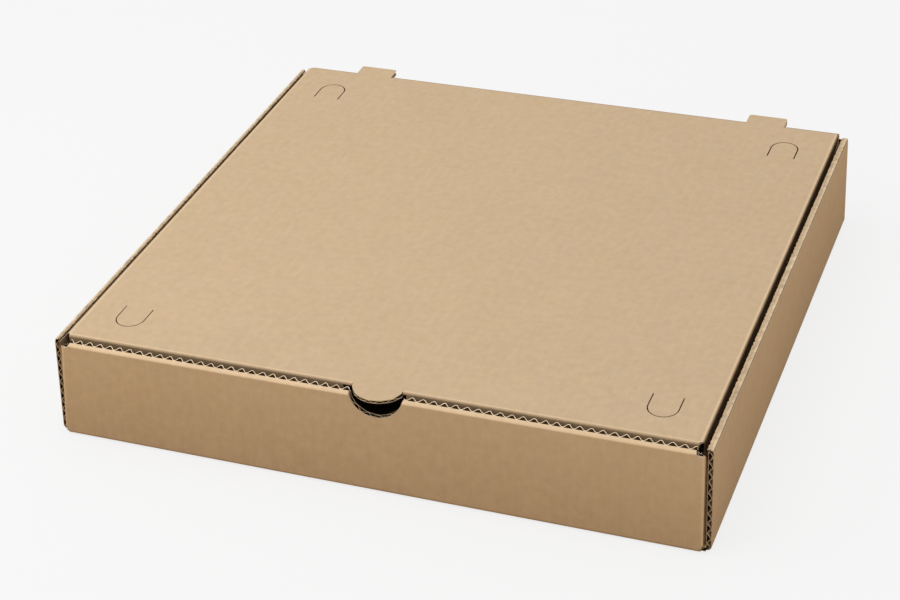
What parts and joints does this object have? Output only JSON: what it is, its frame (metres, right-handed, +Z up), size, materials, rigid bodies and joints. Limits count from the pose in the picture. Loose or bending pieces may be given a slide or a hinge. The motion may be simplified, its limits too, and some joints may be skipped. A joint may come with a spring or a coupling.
{
  "type": "pizza box",
  "caption": "Plain kraft corrugated pizza box with a hinged lid, tuck flap, thumb notch and rear tabs, folded from one die-cut sheet.",
  "frame": {"origin": "middle of the box and its rear tabs seen from above, on the underside that rests on the table", "axes": "+X along the front wall, to the right when facing the thumb notch; +Y from the front wall to the rear fold; +Z up"},
  "size_m": [0.36, 0.3504, 0.058],
  "materials": {
    "kraft_tray": "uncoated brown kraft liner",
    "kraft_lid": "uncoated brown kraft liner"
  },
  "bodies": {
    "tray": {"tray": "kraft_tray"},
    "lid": {"lid": "kraft_lid"}
  },
  "joints": [
    {"name": "lid_hinge", "type": "hinge", "parent": "tray", "child": "lid", "pos_m": [0, 0.16675, 0.058], "axis": [-1, 0, 0], "range_deg": [0, 180]}
  ]
}
